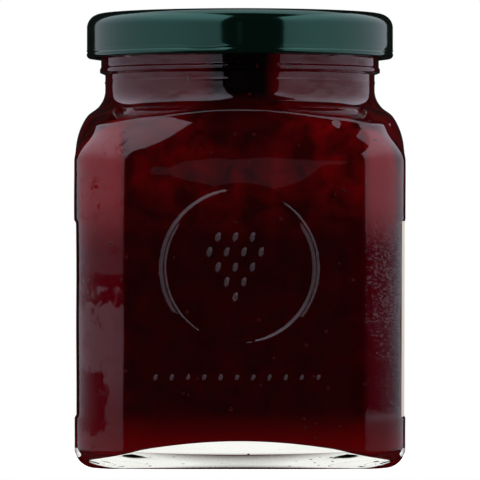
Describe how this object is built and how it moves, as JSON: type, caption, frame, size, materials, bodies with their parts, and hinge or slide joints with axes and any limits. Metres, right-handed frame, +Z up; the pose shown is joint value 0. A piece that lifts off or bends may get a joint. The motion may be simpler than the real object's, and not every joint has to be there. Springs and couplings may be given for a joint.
{
  "type": "jam jar",
  "caption": "Square clear glass jar filled to the lid with dark red jam, with a turned shoulder, a green twist-off metal lid and a plain cream paper label round its back.",
  "frame": {"origin": "middle of the foot, on the surface that the jar stands on", "axes": "+Z up through the lid, -Y the plain front with the raised ornament, +X to the right"},
  "size_m": [0.07, 0.0705, 0.0966],
  "materials": {
    "glass": "polished",
    "jam": "gloss",
    "label_paper": "matte",
    "lid_enamel": "gloss"
  },
  "bodies": {
    "root": {"glass_jar": "glass", "jam": "jam", "label": "label_paper", "lid": "lid_enamel"}
  },
  "joints": []
}
